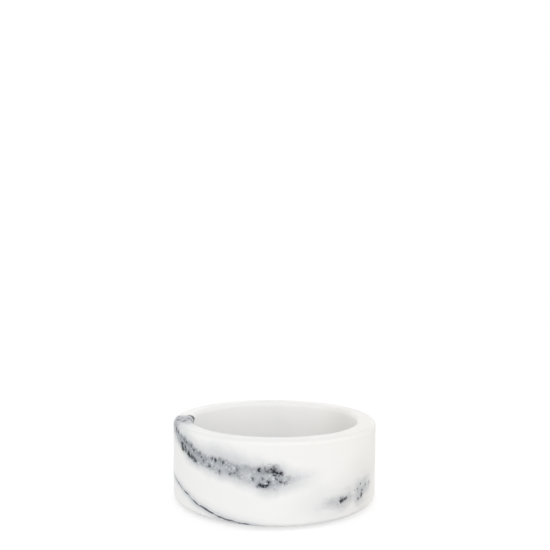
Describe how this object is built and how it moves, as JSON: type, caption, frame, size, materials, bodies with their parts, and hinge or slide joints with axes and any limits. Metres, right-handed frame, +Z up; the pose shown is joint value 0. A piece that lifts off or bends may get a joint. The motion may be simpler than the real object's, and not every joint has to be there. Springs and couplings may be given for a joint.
{
  "type": "wine bottle coaster",
  "caption": "Round white marble coaster with grey veins: a thick-walled bowl with a flat-floored well that a wine bottle stands in, on small rubber feet.",
  "frame": {"origin": "on the axis of turning, in the plane of the rubber feet's faces", "axes": "+Z up along the axis of turning, out of the well's mouth; the feet stand on the diagonals between X and Y"},
  "size_m": [0.1334, 0.1332, 0.0508],
  "materials": {
    "marble": "honed white marble with blue-grey, dark-speckled veins",
    "rubber": "matt moulded black rubber",
    "adhesive_film": "translucent double-sided film"
  },
  "bodies": {
    "root": {"stone_body": "marble", "rubber_foot_1": "rubber", "rubber_foot_2": "rubber", "rubber_foot_3": "rubber", "rubber_foot_4": "rubber", "adhesive_disc_1": "adhesive_film", "adhesive_disc_2": "adhesive_film", "adhesive_disc_3": "adhesive_film", "adhesive_disc_4": "adhesive_film"}
  },
  "joints": []
}
